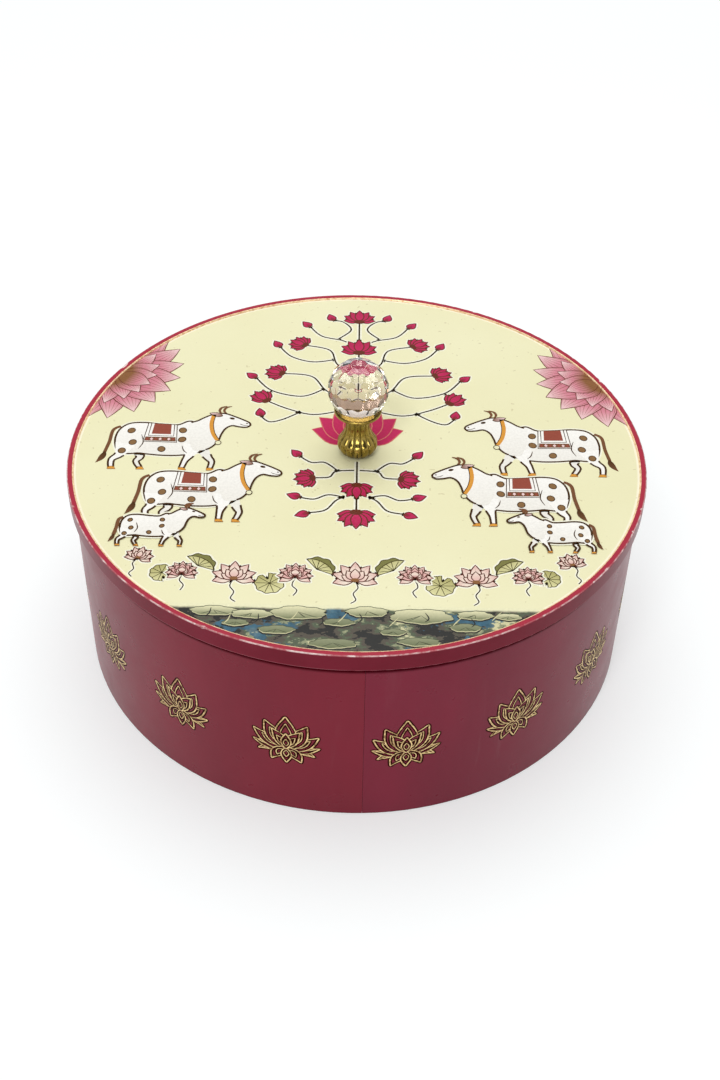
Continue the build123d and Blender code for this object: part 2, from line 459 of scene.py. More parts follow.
def draw_cow(pen, stride=0.0, saddle=True):
    """Humped cow in profile, facing right, about 65 long and 49 tall at size 1."""
    far_legs = (
        [11+15j, 12.8+9.4j, 10.8+6j, 12.4+1.6j],
        [41+16j, 43.8+9.6j, 45.2+6.4j, 44.2+1.6j],
    )
    near_legs = (
        [5.6+19j, 4.2+11j, 1.6+7j, 2.4+1.6j],
        [37+19j, 36+11j, 35+7j, 34.4+1.6j],
    )
    for leg in far_legs:
        swung = [leg[0], leg[1] + stride, leg[2] + 2 * stride, leg[3] + 3 * stride]
        foot = draw_limb(pen, swung, [6, 3.6, 2.6, 2.2], COW_SHADE, 0, 3)
        draw_hoof(pen, foot, 1)
    tail = smooth([1.6+32j, -1.6+29j, -2.2+20j, -3.4+12j])
    pen.line(tail, 1.6, SADDLE_BROWN, 1)
    pen.leaf(*petal(-3.2+13j, -6.6+4.4j, 3.0, bend=0.8), (COW_LINE, SADDLE_BROWN), 2)
    body = [
        1.6+30j, 5.5+34.2j, 12+35.2j, 20+34.2j, 28+33.8j, 33+36.8j, 37+35.2j, 41+30j,
        43+24j, 42.4+17j, 38.4+12.8j, 31+10.8j, 23+10.6j, 16+11.4j, 12+12j, 7.6+11.4j,
        3.2+12.4j, 0.8+18j, 0.2+24j,
    ]
    outline = smooth(body, True, 5)
    pen.line(outline, 2.4, HALO, closed=True)
    pen.plate(outline, COW_SHADE, COW_WHITE, (20+10j, 20+28j), 2)
    pen.line(outline, COW_EDGE, COW_LINE, 3, closed=True)
    for leg in near_legs:
        swung = [leg[0], leg[1] - stride, leg[2] - 2 * stride, leg[3] - 3 * stride]
        foot = draw_limb(pen, swung, [10, 4.6, 2.8, 2.3], COW_WHITE, 4)
        draw_hoof(pen, foot, 5)
    pen.line(smooth([12+26j, 13.4+20j, 11.6+15j]), 0.5, COW_LINE, 6, ends=0.3)
    pen.line(smooth([31.6+18j, 32.6+14.6j, 34.4+12.4j]), 0.5, COW_LINE, 6, ends=0.3)
    spots = (
        (7+28.8j, -25), (8.6+20j, -15), (30.9+29.6j, 10), (31.2+22.6j, -30), (22.4+15.2j, 15),
        (4.4+13.6j, 0),
    )
    for spot, turn in spots:
        pen.shape(ellipse(spot, 1.7, 2.0, turn), SPOT, 0.4, COW_LINE, 6)
    if saddle:
        draw_saddle(pen, 6)
    draw_cow_head(pen, 9, rope=saddle)


def draw_pad(pen, radius, colour, edge):
    """Round lily leaf seen from above, with a wavy edge, a notch and ribs."""
    outline = []
    count = 40
    ribs = 9
    for i in range(count):
        angle = 2 * pi * (i + 0.5) / count
        wave = 1 + 0.045 * sin(9 * angle)
        notch = 0.42 if i in (0, count - 1) else 1
        outline.append(cmath.rect(radius * wave * notch, angle))
    pen.line(outline, GLOW, HALO, -1, closed=True)
    pen.plate(outline, colour, edge, (-radius, radius))
    for rib in range(ribs):
        along = cmath.rect(radius, 2 * pi * (rib + 0.9) / (ribs + 0.8))
        pen.line([0j, along * 0.5, along * 0.92], 0.3, LEAF_LINE, 1)
    pen.line(outline, 0.4, LEAF_LINE, 1, closed=True)


def draw_folded_leaf(pen, size):
    """Lily leaf seen from the side as a ribbed fan, its far edge folded over in a wavy band."""
    count = 20
    turns = [radians(15 + 150 * i / count) for i in range(count + 1)]
    outer = [cmath.rect(size * (1 + 0.05 * sin(9 * turn)), turn) for turn in turns]
    inner = [cmath.rect(size * (1 - 0.34 * sin(pi * i / count)), turn) for i, turn in enumerate(turns)]
    fan = [0j] + outer
    pen.line(fan, GLOW, HALO, -1, closed=True)
    pen.plate(fan, LEAF_PALE, LEAF, (0j, complex(0, size)))
    for turn in turns[2:-1:4]:
        pen.line([0j, cmath.rect(size * 0.4, turn), cmath.rect(size * 0.8, turn)], 0.32, LEAF_LINE, 1)
    pen.line(fan, 0.4, LEAF_LINE, 1, closed=True)
    pen.shape(outer + inner[::-1], LEAF_DARK, 0.4, LEAF_LINE, 2)


# Materials
SEAM_ANGLE = 2.1
WRAP_RED = srgb(138, 25, 49)
WRAP_PURPLE = srgb(134, 27, 54)
HOOP_DARK = srgb(122, 24, 44)
HOOP_LIGHT = srgb(136, 32, 54)
# Painted highlight: the colour of the hoop's top face, lighter as the side that faces the light.
HOOP_TOP_LIT = srgb(172, 52, 70)
BOARD_DARK = srgb(150, 112, 76)
BOARD_LIGHT = srgb(196, 158, 116)


class Nodes:
    """Short ways to add and join nodes in a shader tree."""

    def __init__(self, tree):
        self.tree = tree

    def add(self, kind, inputs=(), **settings):
        node = self.tree.nodes.new(kind)
        for key, value in settings.items():
            setattr(node, key, value)
        for key, value in dict(inputs).items():
            self.feed(node.inputs[key], value)
        return node

    def feed(self, socket, value):
        """Join another socket to this one, or set it to a number, a vector or a colour."""
        if isinstance(value, bpy.types.NodeSocket):
            self.tree.links.new(value, socket)
        elif socket.type == "RGBA":
            socket.default_value = (*value, 1)
        else:
            socket.default_value = value

    def math(self, operation, a, b=0.0, c=0.0, clamp=False):
        return self.add("ShaderNodeMath", {0: a, 1: b, 2: c}, operation=operation, use_clamp=clamp).outputs[0]

    def scale(self, value, factor, plus=0.0):
        return self.math("MULTIPLY_ADD", value, factor, plus)

    def minus(self, a, b):
        return self.math("SUBTRACT", a, b)

    def hypotenuse(self, a, b):
        return self.math("SQRT", self.scale(a, a, self.scale(b, b)))

    def noise(self, scale, detail=3.0, roughness=0.55, stretch=(1, 1, 1)):
        """Noise over the object's own coordinates in metres, stretched if asked."""
        where = self.add("ShaderNodeTexCoord").outputs["Object"]
        place = self.add("ShaderNodeMapping", {"Vector": where, "Scale": stretch}).outputs[0]
        inputs = {"Vector": place, "Scale": scale, "Detail": detail, "Roughness": roughness}
        return self.add("ShaderNodeTexNoise", inputs).outputs["Fac"]

    def ramp(self, value, stops, steps=False):
        """Colours along a value, blended from stop to stop or in steps."""
        node = self.add("ShaderNodeValToRGB", {"Fac": value})
        node.color_ramp.interpolation = "CONSTANT" if steps else "LINEAR"
        points = node.color_ramp.elements
        while len(points) < len(stops):
            points.new(0.5)
        for point, (position, colour) in zip(points, stops):
            point.position = position
            point.color = (*colour, 1)
        return node.outputs["Color"]

    def mottle(self, dark, light, *noise, low=0.3, high=0.7):
        """Two colours, blended where the noise lies between low and high."""
        return self.ramp(self.noise(*noise), ((low, dark), (high, light)))

    def span(self, value, low, high, to_low=0.0, to_high=1.0, kind="LINEAR"):
        """Value from low to high turned into to_low to to_high, and level beyond them."""
        inputs = {"Value": value, "From Min": low, "From Max": high, "To Min": to_low, "To Max": to_high}
        return self.add("ShaderNodeMapRange", inputs, interpolation_type=kind).outputs[0]

    def fade(self, value, start, end):
        """Soft step from 0 at start to 1 at end, which may be the lower of the two."""
        return self.span(value, start, end, kind="SMOOTHSTEP")

    def mix(self, share, a, b, blend="MIX"):
        node = self.add("ShaderNodeMix", data_type="RGBA", blend_type=blend)
        for index, value in ((0, share), (6, a), (7, b)):
            self.feed(node.inputs[index], value)
        return node.outputs[2]

    def times(self, a, b, share=1.0):
        """Colour a multiplied by b, in full or by a share."""
        return self.mix(share, a, b, "MULTIPLY")

    def bump(self, height, strength, distance):
        inputs = {"Height": height, "Strength": strength, "Distance": distance}
        return self.add("ShaderNodeBump", inputs).outputs[0]

    def around(self):
        """Distance from the upright axis, angle to the right of the front in turns, and height."""
        where = self.add("ShaderNodeTexCoord").outputs["Object"]
        x, y, z = self.add("ShaderNodeSeparateXYZ", {"Vector": where}).outputs
        angle = self.math("ARCTAN2", x, self.scale(y, -1.0))
        return self.hypotenuse(x, y), self.math("DIVIDE", angle, 2 * pi), z

    def seen(self):
        """1 for what the camera sees directly, in a mirror or through glass."""
        path = self.add("ShaderNodeLightPath").outputs
        straight = self.math("ADD", path["Is Camera Ray"], path["Is Glossy Ray"])
        return self.math("ADD", straight, path["Is Transmission Ray"], clamp=True)


class Material(Nodes):
    def __init__(self, name):
        self.material = bpy.data.materials.new(name)
        self.material.use_nodes = True
        super().__init__(self.material.node_tree)

    def ink(self, layer="ink"):
        """Colour given to the mesh at its vertices, and the red in it."""
        colour = self.add("ShaderNodeVertexColor", layer_name=layer).outputs["Color"]
        return colour, self.add("ShaderNodeSeparateColor", {"Color": colour}).outputs[0]

    def finish(self, colour, roughness, **sockets):
        """Join up the surface. Other sockets go by their names with _ for a space."""
        shader = self.tree.nodes["Principled BSDF"]
        for name, value in {"Base_Color": colour, "Roughness": roughness, **sockets}.items():
            self.feed(shader.inputs[name.replace("_", " ")], value)
        return self.material


def glazed(n, colour, depth):
    """Clear gloss coat over print, with the same faint waviness on every printed piece."""
    colour = n.times(colour, n.mottle((1 - depth,) * 3, (1, 1, 1), 900.0, 2.0))
    rough = n.scale(n.noise(60.0), 0.06, 0.2)
    wave = n.bump(n.noise(22.0, 2.0), 0.12, 0.0006)
    return n.finish(colour, rough, Normal=wave, Specular_IOR_Level=0.2)


def cream_material():
    n = Material("cream_print")
    colour = n.mottle(CREAM_WARM, CREAM, 14.0, 4.0)
    border = n.fade(n.around()[0], print_radius - 0.0017, print_radius - 0.0012)
    colour = n.mix(n.scale(border, 0.8), colour, srgb(252, 248, 226))
    specks = n.fade(n.noise(420.0, 1.0), 0.735, 0.76)
    colour = n.mix(n.scale(specks, 0.35), colour, srgb(176, 160, 118))
    return glazed(n, colour, 0.012)


def ink_material():
    n = Material("print_ink")
    return glazed(n, n.ink()[0], 0.1)


def pond_material():
    """Painted water: dark greens with blue patches, which fade into the cream along the upper edge."""
    n = Material("print_pond")
    stops = (POND_DARK, POND_BROWN, POND_GREEN, POND_LIGHT, PAD_EDGE)
    stops = list(zip((0.3, 0.45, 0.52, 0.57, 0.62), stops))
    colour = n.ramp(n.noise(85.0, 5.0, 0.6, (1, 1.6, 1)), stops, steps=True)
    blue = n.fade(n.noise(40.0, 5.0, 0.6, (1, 1.5, 1)), 0.575, 0.595)
    shade = n.mottle((0.7,) * 3, (1.2,) * 3, 260.0, 4.0, low=0.35, high=0.65)
    colour = n.mix(n.scale(blue, 0.9), colour, n.times(POND_BLUE, shade))
    ragged = n.scale(n.noise(160.0), 0.5, -0.25)
    share = n.math("ADD", n.ink()[1], ragged)
    return glazed(n, n.mix(n.fade(share, 0.3, 0.75), CREAM, colour), 0.08)


def crimson_wrap_material():
    """Laminate with a slow hue change round the box, painted reflection streaks, and painted shade under the
    lid and at its foot.
    """
    n = Material("crimson_wrap")
    turn, height = n.around()[1:]
    hue = n.mix(n.math("FRACT", n.minus(turn, SEAM_ANGLE / 360)), WRAP_PURPLE, WRAP_RED)
    colour = n.times(hue, n.mottle((0.86,) * 3, (1.06,) * 3, 30.0, 4.0, 0.6, (1, 1, 0.35)))
    # Painted reflection: pale vertical streaks, stronger toward the bottom, stand in for the room seen in the
    # gloss.
    streaks = n.fade(n.noise(55.0, 5.0, 0.7, (1, 1, 0.12)), 0.6, 0.78)
    low = n.fade(height, 0.05, 0.0)
    painted_streak_reflection = n.scale(streaks, n.scale(low, 0.16, 0.03))
    colour = n.mix(painted_streak_reflection, colour, srgb(205, 170, 172))
    # Painted shade: a dark band just below the lid's overhang and a darker line along the foot, with less
    # gloss on both.
    under_lid = n.fade(n.minus(wrap_high.z, height), 0.003, 0.0012)
    foot = n.scale(n.fade(height, 0.0012, 0.0003), 0.7)
    painted_shade = n.math("MAXIMUM", under_lid, foot)
    colour = n.mix(n.scale(painted_shade, 0.9), colour, srgb(70, 5, 16))
    rough = n.scale(n.noise(90.0), 0.16, 0.22)
    fine = n.math("ADD", n.noise(700.0, 2.0), n.scale(n.noise(40.0, 2.0), 3.0))
    gloss = n.scale(painted_shade, -0.2, 0.2)
    return n.finish(colour, rough, Normal=n.bump(fine, 0.12, 0.0002), Specular_IOR_Level=gloss)


def crimson_hoop_material():
    """Painted hoop whose upper outer edge is worn through in chips to a pale undercoat. A thin pale line
    along that edge and a lighter line along the lower edge are painted highlights, and the top face is
    painted lighter as the lit side.
    """
    n = Material("crimson_hoop")
    radius, height = n.around()[::2]
    out = n.minus(hoop_high.x, radius)
    down = n.minus(hoop_high.z, height)
    # Painted highlight: the hoop's top, fading in over its upper 0.8 mm, is coloured lighter as the lit face.
    paint = n.mix(n.fade(down, 0.0008, 0.0002), n.mottle(HOOP_DARK, HOOP_LIGHT, 45.0, 4.0), HOOP_TOP_LIT)
    # The pale edge mask is partly real chips in noisy patches and partly a thin, always present line that is
    # a painted highlight.
    patches = n.scale(n.fade(n.noise(60.0, 4.0, 0.7), 0.6, 0.7), n.noise(420.0))
    reach = n.scale(patches, 0.0018, 0.00044)
    worn_and_lit_edge = n.fade(n.minus(n.hypotenuse(out, down), reach), 0.00018, -0.0001)
    kept = n.scale(n.fade(n.noise(90.0, 5.0, 0.7), 0.42, 0.56), 0.75, 0.15)
    chips_and_edge_highlight = n.math("MULTIPLY", worn_and_lit_edge, kept, clamp=True)
    pale_coat_and_highlight = n.mottle(srgb(212, 166, 166), srgb(250, 234, 230), 500.0, 2.0, low=0.35, high=0.65)
    colour = n.mix(chips_and_edge_highlight, paint, pale_coat_and_highlight)
    # Painted highlight: a lighter line along the hoop's lower edge.
    foot = n.fade(n.minus(height, hoop_low.z), 0.0006, 0.0002)
    colour = n.mix(n.scale(foot, 0.5), colour, srgb(206, 120, 130))
    rough = n.scale(chips_and_edge_highlight, 0.4, 0.28)
    relief = n.minus(n.scale(n.noise(420.0, 2.0), 0.4), chips_and_edge_highlight)
    return n.finish(colour, rough, Normal=n.bump(relief, 0.3, 0.0002), Specular_IOR_Level=0.1)


def brass_material():
    """Cast brass, darker in its flutes, and darker toward its foot as painted shade."""
    n = Material("cast_brass")
    colour = n.mottle(srgb(130, 110, 48), srgb(164, 142, 76), 260.0, 4.0)
    # Painted shade: darker toward the foot, standing in for the shadowed lid that the lower bulb reflects.
    low = n.fade(n.around()[2], print_top + 0.0045, print_top + 0.0005)
    hollow = n.ink("depth")[1]
    flutes_and_foot_shade = n.math("MAXIMUM", n.scale(hollow, 0.5), n.scale(low, 0.6))
    colour = n.mix(flutes_and_foot_shade, colour, srgb(62, 48, 14))
    rough = n.scale(n.noise(340.0), 0.1, 0.1)
    return n.finish(colour, rough, Normal=n.bump(n.noise(600.0, 2.0), 0.12, 0.0001), Metallic=1.0)


def foil_material(name, light, dark, edged=False):
    """Thin stamped foil with a broken, grainy cover whose pale flecks are painted glints. Edged foil is dark
    and dull where its ink is.
    """
    n = Material(name)
    # Painted highlight: the pale flecks of this mottle stand in for glints.
    colour = n.mottle(dark, light, 480.0, 4.0, 0.7, low=0.36, high=0.56)
    gloss = 0.5
    if edged:
        ink, gold = n.ink()
        colour = n.times(colour, ink)
        gloss = n.scale(n.fade(gold, 0.1, 0.9), 0.5)
    rough = n.scale(n.noise(500.0), 0.2, 0.3)
    grain = n.bump(n.noise(1500.0, 2.0), 0.2, 0.00005)
    return n.finish(colour, rough, Normal=grain, Metallic=0.45, Specular_IOR_Level=gloss)


def crystal_material():
    """Clear cut glass, tinged toward its foot and on its upright facets as a painted reflection of the brass
    below.
    """
    n = Material("crystal")
    # Painted reflection: brownish tints toward the foot and on upright facets stand in for the brass seen in
    # the glass.
    share = n.math("DIVIDE", n.minus(n.around()[2], ball_low.z), 0.011, clamp=True)
    tint = n.ramp(share, ((0.3, srgb(204, 182, 164)), (0.95, (1, 1, 1))))
    normal = n.add("ShaderNodeTexCoord").outputs["Normal"]
    upward = n.add("ShaderNodeSeparateXYZ", {"Vector": normal}).outputs["Z"]
    upright_facet_reflection = n.scale(n.fade(upward, -0.35, -0.3), n.fade(upward, 0.3, 0.2))
    tint = n.times(tint, srgb(140, 106, 88), upright_facet_reflection)
    tint = n.times(tint, n.mottle((0.97, 0.985, 0.985), (1, 1, 1), 40.0))
    return n.finish(tint, 0.0, Transmission_Weight=1.0, IOR=1.53)


def board_material():
    """Fibreboard: fine brown fibres and darker flecks."""
    n = Material("fibreboard")
    fibre = n.noise(900.0, 4.0, 0.7)
    colour = n.ramp(fibre, ((0.3, BOARD_DARK), (0.7, BOARD_LIGHT)))
    fleck = n.fade(n.noise(380.0, 2.0), 0.66, 0.74)
    colour = n.mix(n.scale(fleck, 0.5), colour, srgb(104, 72, 44))
    return n.finish(colour, 0.85, Normal=n.bump(fibre, 0.25, 0.0003))


def painted_wall_material():
    """Fibreboard wall whose outer face and top edge are painted crimson."""
    n = Material("painted_wall")
    radius, height = n.around()[::2]
    outer = n.fade(radius, wall_high.x - 0.0003, wall_high.x - 0.0002)
    upper = n.fade(height, wall_high.z - 0.0025, wall_high.z - 0.0015)
    painted = n.math("MAXIMUM", outer, upper)
    board = n.mottle(BOARD_DARK, BOARD_LIGHT, 900.0, 4.0, 0.7)
    paint = n.mottle(srgb(96, 16, 30), srgb(112, 22, 38), 60.0)
    rough = n.scale(painted, -0.4, 0.85)
    return n.finish(n.mix(painted, board, paint), rough, Normal=n.bump(n.noise(700.0), 0.15, 0.0002))


def lining_material():
    """Short burgundy pile, brushed unevenly."""
    n = Material("pile_lining")
    pile = n.noise(1600.0, 3.0, 0.7)
    brushed = n.mix(n.noise(34.0), srgb(84, 18, 32), srgb(124, 34, 50))
    colour = n.times(brushed, n.ramp(pile, ((0.3, (0.7,) * 3), (0.7, (1.1,) * 3))))
    return n.finish(colour, 0.95, Normal=n.bump(pile, 0.5, 0.0003), Sheen_Weight=0.5, Sheen_Roughness=0.4)


def zinc_material():
    n = Material("zinc_plate")
    colour = n.mottle(srgb(150, 150, 146), srgb(196, 196, 192), 700.0)
    rough = n.scale(n.noise(300.0), 0.2, 0.25)
    return n.finish(colour, rough, Normal=n.bump(n.noise(500.0), 0.1, 0.0001), Metallic=1.0)


def finish_nodes():
    finishes = (
        (cream_material(), ("lid_print",)),
        (crimson_hoop_material(), ("lid_hoop",)),
        (crimson_wrap_material(), ("body_wrap",)),
        (painted_wall_material(), ("body_wall",)),
        (board_material(), ("base_disc", "lid_panel", "locating_ring")),
        (lining_material(), ("base_cover", "wall_lining", "floor_lining", "lid_lining")),
        (zinc_material(), ("knob_screw", "knob_washer")),
    )
    for material, names in finishes:
        for name in names:
            mesh = nodes[name].data
            mesh.materials.clear()
            mesh.materials.append(material)


# Knob casting, in millimetres above the print, as radius and height
FOOT = 5.7
BULB = 8.9
BULB_LEVEL = 4.8
NECK = 5.4
NECK_LEVEL = 15.0
FLARE_LEVEL = 19.0
CUP = 10.3
CUP_TOP = 22.8
CUP_RIM = 1.3
CUP_WALL = 0.95
DISH = 1.7
FLUTES = 14
FLUTE_DEPTH = 0.6


def arc_points(centre, radius, start, end, steps):
    return [centre + cmath.rect(radius, start + (end - start) * i / steps) for i in range(steps + 1)]


def casting_profile():
    """Outline of the casting from its foot to the middle of its dish, as radius + height * 1j."""
    inset = BULB - FOOT
    bulb_arc = (BULB_LEVEL ** 2 + inset ** 2) / (2 * inset)
    bulb_centre = complex(BULB - bulb_arc, BULB_LEVEL)
    across = NECK - bulb_centre.real
    up = NECK_LEVEL - BULB_LEVEL
    neck_arc = (across ** 2 + up ** 2 - bulb_arc ** 2) / (2 * (bulb_arc - across))
    neck_centre = complex(NECK + neck_arc, NECK_LEVEL)
    touch = cmath.phase(neck_centre - bulb_centre)
    start = cmath.phase(FOOT - bulb_centre)
    flare = FLARE_LEVEL - NECK_LEVEL
    end = pi - atan2(flare, sqrt(neck_arc ** 2 - flare ** 2))
    profile = [0j, complex(FOOT * 0.97, 0)]
    profile += arc_points(bulb_centre, bulb_arc, start, touch, 14)
    profile += arc_points(neck_centre, neck_arc, pi + touch, end, 16)[1:]
    edge = 0.25
    under = CUP_TOP - CUP_RIM
    inner = CUP - CUP_WALL
    dish = CUP_TOP - DISH
    cup = (
        (CUP - edge, under - 0.1), (CUP, under + edge), (CUP, CUP_TOP - edge), (CUP - edge, CUP_TOP),
        (inner + edge, CUP_TOP), (inner - 0.1, CUP_TOP - edge), (inner - 1.1, dish), (3, dish), (0, dish),
    )
    return profile + [complex(radius, height) for radius, height in cup]


def make_casting():
    """Fluted casting: round lobes on the bulb and the neck, which run out under the cup."""
    profile = casting_profile()
    around = FLUTES * 12
    vertices, depths, faces, rings = [], [], [], []
    for point in profile:
        ring = []
        fade = min(max(point.imag / 1.2, 0), 1) * min(max((FLARE_LEVEL + 1.5 - point.imag) / 3, 0), 1)
        depth = FLUTE_DEPTH * fade * min(point.real / BULB, 1)
        count = 1 if point.real == 0 else around
        for i in range(count):
            angle = 2 * pi * i / around
            hollow = (1 - abs(sin(FLUTES * angle / 2))) ** 1.9
            radius = point.real - depth * hollow
            ring.append(len(vertices))
            height = print_top + point.imag * MM
            vertices.append((radius * cos(angle) * MM, radius * sin(angle) * MM, height))
            depths.append((hollow * fade,) * 3)
        rings.append(ring)
    for low, high in zip(rings, rings[1:]):
        for i in range(around):
            j = (i + 1) % around
            corners = [low[i % len(low)], low[j % len(low)], high[j % len(high)], high[i % len(high)]]
            faces.append(list(dict.fromkeys(corners)))
    mesh = new_mesh("knob_casting", vertices, faces, brass_material(), "depth", depths)
    mesh.polygons.foreach_set("use_smooth", [True] * len(mesh.polygons))
    mesh.set_sharp_from_angle(angle=radians(50))
    casting = add_piece("knob_casting", mesh, "lid")
    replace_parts(casting, "knob_base")


EDGE_GRIND = 0.13


def make_crystal():
    """The faceted ball with the narrow ground edges between its facets."""
    node = nodes["knob_ball"]
    mesh = node.data.copy()
    mesh.transform(node.matrix_world)
    cut = bmesh.new()
    cut.from_mesh(mesh)
    bmesh.ops.remove_doubles(cut, verts=cut.verts, dist=0.000001)
    bmesh.ops.dissolve_limit(cut, angle_limit=radians(1), verts=cut.verts, edges=cut.edges)
    edges = cut.edges[:]
    bmesh.ops.bevel(cut, geom=edges, offset=EDGE_GRIND * MM, segments=1, affect="EDGES", clamp_overlap=True)
    cut.to_mesh(mesh)
    cut.free()
    mesh.name = "crystal_ball"
    mesh.materials.clear()
    mesh.materials.append(crystal_material())
    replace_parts(add_piece("crystal_ball", mesh, "lid"), "knob_ball")


# Print on the lid


def draw_creeper(pen):
    """Flowering creeper, drawn for the right half; the left half is its mirror image."""
    branches = (
        ([0+40j, 14+44j, 22+56j, 36+58j], "bloom", 20),
        ([16+46j, 26+40j, 40+44j, 48+54j], "bud", 40),
        ([0+58j, 10+66j, 14+78j, 26+82j], "bloom", 30),
        ([12+70j, 22+68j, 32+72j, 38+80j], "bud", 60),
        ([0+78j, 7+86j, 18+90j, 24+98j], "bud", 50),
        ([10+88j, 4+96j, 8+103j, 13+104j], "bud", 70),
        ([6+30j, 20+26j, 32+30j, 42+36j], "half", 50),
        ([26+28j, 34+22j, 40+20j, 44+24j], "bud", 80),
        ([0-14j, 9-15j, 12-19j, 19-19.6j], "bloom", -10),
        ([8-15j, 14-9j, 20-9j, 25-5j], "bud", 50),
        ([0-30j, 8-34j, 13-41j, 20-43j], "bud", -20),
        ([5-32.6j, 12-31j, 18-34j, 24-33j], "bud", 20),
    )
    for path, flower, tilt in branches:
        draw_stem(pen, path)
        head = pen.inner(path[-1], 1.0, -90 + tilt, layer=2)
        if flower == "bud":
            draw_bud(head)
        elif flower == "bloom":
            draw_bloom(head, 8.6)
        else:
            draw_bloom(head, 9.6, 5, 50)


def draw_centre_line(pen):
    """The upright stem with the flowers on it, and the large lotus that the knob stands in."""
    draw_stem(pen, [18j, 50j, 80j, 104j])
    draw_stem(pen, [-8j, -20j, -32j, -44j])
    blooms = ((103j, 10.5, 7, 82), (76j, 11.5, 7, 84), (54j, 9, 5, 60), (-24j, 9.5, 7, 80), (-42j, 11, 7, 80))
    for place, length, petals, spread in blooms:
        turn = 0 if place.imag > 0 else 180
        draw_bloom(pen.inner(place, turn=turn, layer=2), length, petals, spread)
    big = pen.inner(4j, layer=2)
    draw_lotus(big, 29, 13, 7, 62, (MAGENTA_DEEP, MAGENTA), srgb(214, 120, 110), 0.5, shrink=0.2, bend=0.1)


def make_creeper(ink):
    sheet = Sheet(on_lid)
    for flip in (1, -1):
        draw_creeper(Pen(sheet, flip=flip))
    draw_centre_line(Pen(sheet, layer=3))
    sheet.build("print_creeper", ink)


def make_cattle(ink):
    """Two cows and a calf on each side, looking towards the middle."""
    for side, flip in (("left", 1), ("right", -1)):
        sheet = Sheet(on_lid)
        draw_cow(Pen(sheet, -108-16j, 0.96, 0, flip, 1), 0.5)
        draw_cow(Pen(sheet, -91-50j, 0.94, 0, flip, 16), -0.4)
        draw_cow(Pen(sheet, -98-66j, 0.56, 0, flip, 31), 0.6, saddle=False)
        sheet.build("print_cattle_" + side, ink)


def make_rim_lotuses(ink):
    """Large pink lotuses that open from the rim towards the middle."""
    for side, flip in (("left", 1), ("right", -1)):
        sheet = Sheet(on_lid)
        direction = cmath.rect(1, radians(154))
        pen = Pen(sheet, direction * 127.0, 1.0, 154 + 90, flip, 1)
        outer = (CENTRE_GOLD, PINK_DEEP, PINK, PINK_PALE)
        inner = (CENTRE_GOLD, CENTRE_GOLD, PINK, PINK_PALE)
        draw_lotus(pen, 30, 15, 9, 84, outer, EDGE_BROWN, 0.46, 6, -0.3, 0.1)
        draw_lotus(pen.inner(0j, layer=12), 19, 11, 7, 70, inner, EDGE_BROWN, 0.35, 7, -0.25, 0.1)
        sheet.build("print_rim_lotus_" + side, ink)


def draw_small_lotus(pen, size):
    """Open lotus in line and pale wash, on a thin crooked stem."""
    draw_stem(pen, [0j, 1.2-4j, -0.6-7.5j, 0.4-11j, -1.6-13j], 0.5)
    back = pen.inner(0j, layer=2)
    stops = (ROSE_PALE, ROSE_PALE, ROSE)
    draw_lotus(back, size, size * 0.44, 7, 100, stops, ROSE_LINE, 0.5, 1, 0.18, 0.12, True)
    front = pen.inner(0j, layer=10)
    draw_lotus(front, size * 0.62, size * 0.36, 4, 62, (ROSE, ROSE_PALE), ROSE_LINE, 0.46, 0, 0.1)
    front.plate(ellipse(0.3j, size * 0.16, size * 0.1), CENTRE_GOLD, lift=6)


def draw_full_flower(pen, size):
    """Full flower: three rows of petals, the inner ones before the outer ones."""
    rows = ((1.0, 9, 118, ROSE_PALE, 0), (0.76, 7, 96, ROSE, 10), (0.5, 5, 70, ROSE_PALE, 18))
    for reach, petals, spread, colour, layer in rows:
        row = pen.inner(-0.3j * size, layer=layer)
        stops = (ROSE_DEEP, colour, ROSE)
        behind = layer == 0
        draw_lotus(row, size * reach, size * 0.44, petals, spread, stops, ROSE_LINE, 0.4, 0, 0.1, 0.1, behind)


def make_flower_row(ink):
    """Small lotuses, full flowers and lily leaves in a row before the pond, alike on both sides."""
    sheet = Sheet(on_lid)
    draw_small_lotus(Pen(sheet, -84.4j), 11)
    for flip in (1, -1):
        draw_folded_leaf(Pen(sheet, 15.5-78j, 1, 40, flip, 2), 7.2)
        draw_pad(Pen(sheet, 34-86.5j, 1, 70, flip, 2), 5.8, LEAF_PALE, LEAF)
        draw_full_flower(Pen(sheet, 24-80j, 1, 0, flip, 6), 7.8)
        draw_stem(Pen(sheet, 24-83.5j, 1, 0, flip), [0j, 1-4j, -1-7j, 0.4-10j], 0.5)
        draw_small_lotus(Pen(sheet, 48.5-84.4j, 1, 0, flip), 10.4)
        draw_folded_leaf(Pen(sheet, 63.5-77j, 1, 35, flip, 2), 7)
        draw_pad(Pen(sheet, 77.5-81.5j, 1, 250, flip, 2), 4.8, LEAF, LEAF_PALE)
        draw_full_flower(Pen(sheet, 69.5-79.5j, 1, 0, flip, 6), 7)
        draw_stem(Pen(sheet, 69-82.5j, 1, 0, flip), [0j, 1-3j, -0.8-6j, 0.2-9j], 0.5)
        draw_small_lotus(Pen(sheet, 88-73j, 0.85, 14, flip, 2), 9.6)
    sheet.build("print_flower_row", ink)


